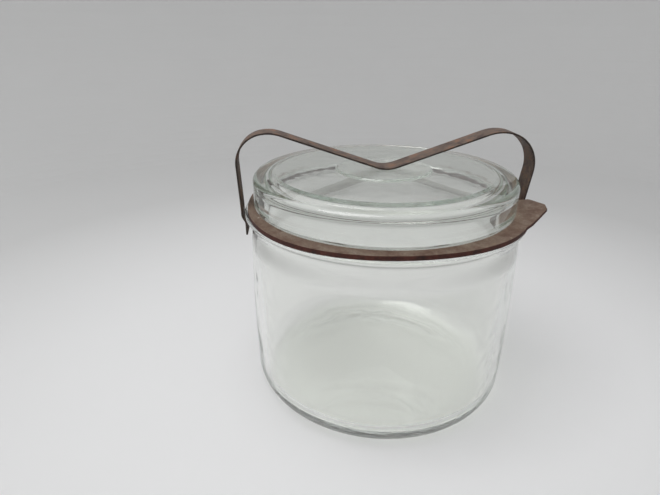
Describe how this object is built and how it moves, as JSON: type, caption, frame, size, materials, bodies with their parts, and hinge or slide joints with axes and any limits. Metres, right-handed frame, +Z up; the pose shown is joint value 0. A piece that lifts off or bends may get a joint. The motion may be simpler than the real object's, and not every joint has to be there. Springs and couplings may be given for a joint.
{
  "type": "preserving jar with lid and clamp",
  "caption": "Wide round glass preserving jar with a thick glass lid, a flat rubber sealing ring with a pull tab, and an M-shaped spring steel clamp hooked under the rim.",
  "frame": {"origin": "on the jar's axis, in the plane that the jar stands on", "axes": "+Z up along the jar's axis; +X along the clamp, towards the ring's pull tab"},
  "size_m": [0.1296, 0.122, 0.1187],
  "materials": {
    "jar_glass": "gloss",
    "aged_rubber": "matte",
    "lid_glass": "gloss",
    "rusty_steel": "satin"
  },
  "bodies": {
    "jar": {"glass_jar": "jar_glass"},
    "ring": {"rubber_ring": "aged_rubber"},
    "lid": {"glass_lid": "lid_glass"},
    "clamp": {"spring_clamp": "rusty_steel"}
  },
  "joints": [
    {"name": "ring_lift", "type": "slide", "parent": "jar", "child": "ring", "axis": [0, 0, 1], "range_m": [0, 0.09]},
    {"name": "lid_lift", "type": "slide", "parent": "ring", "child": "lid", "axis": [0, 0, 1], "range_m": [0, 0.09]},
    {"name": "clamp_slide", "type": "slide", "parent": "lid", "child": "clamp", "axis": [0, 1, 0], "range_m": [0, 0.075]}
  ]
}
